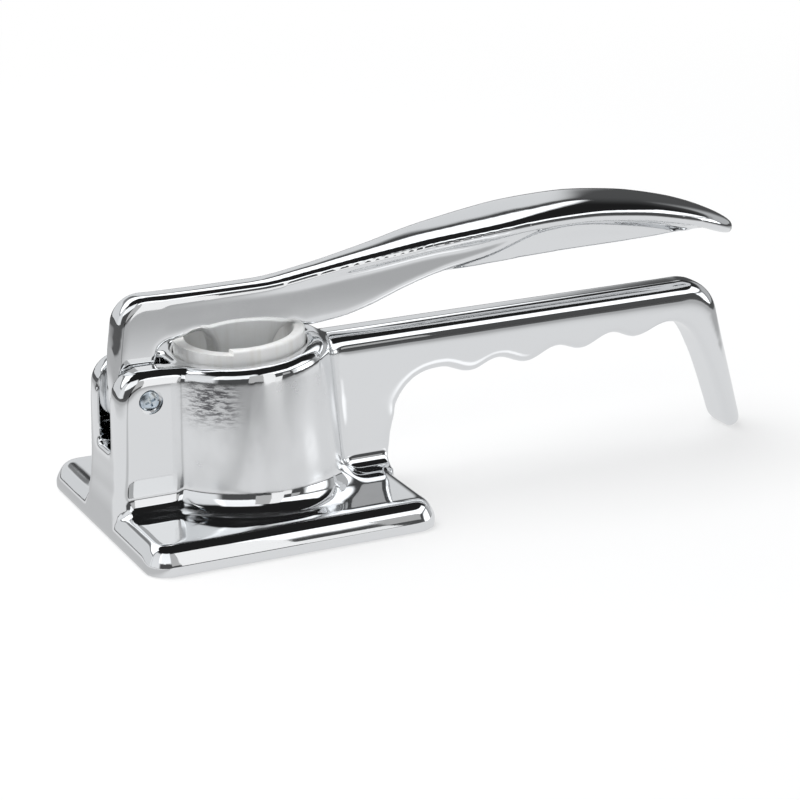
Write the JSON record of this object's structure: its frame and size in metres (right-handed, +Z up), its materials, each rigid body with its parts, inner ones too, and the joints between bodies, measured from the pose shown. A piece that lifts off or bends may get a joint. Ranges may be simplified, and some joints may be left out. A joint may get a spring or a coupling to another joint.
{
  "type": "garlic press",
  "caption": "Table-top garlic press: chromed base, barrel and leg-ended handle in one casting, lift-out sieve cup, and a hinged lever whose plunger presses down into the cup.",
  "frame": {"origin": "on the table, under the middle of the closed press's outline seen from above", "axes": "+X along the handle from the hinge end to the leg, +Y to the far side, +Z up"},
  "size_m": [0.2332, 0.092, 0.0894],
  "materials": {
    "chrome_casting": "bright chrome plating on a casting",
    "cast_aluminium": "matte as-cast aluminium",
    "sieve_steel": "plain stainless steel",
    "zinc_fastener": "bluish zinc plating"
  },
  "bodies": {
    "frame": {"body_casting": "chrome_casting", "sieve_cup": "cast_aluminium", "sieve_plate": "sieve_steel", "hinge_screw": "zinc_fastener", "hinge_sleeve": "zinc_fastener"},
    "lever": {"lever": "chrome_casting", "plunger_pin": "sieve_steel"},
    "plunger": {"plunger": "cast_aluminium"}
  },
  "joints": [
    {"name": "lever_hinge", "type": "hinge", "parent": "frame", "child": "lever", "pos_m": [-0.10314, 0, 0.0445], "axis": [0, -1, 0], "range_deg": [0, 95]},
    {"name": "plunger_swivel", "type": "hinge", "parent": "lever", "child": "plunger", "pos_m": [-0.06889, 0, 0.0335], "axis": [0, -1, 0], "range_deg": [-3, 3]}
  ]
}
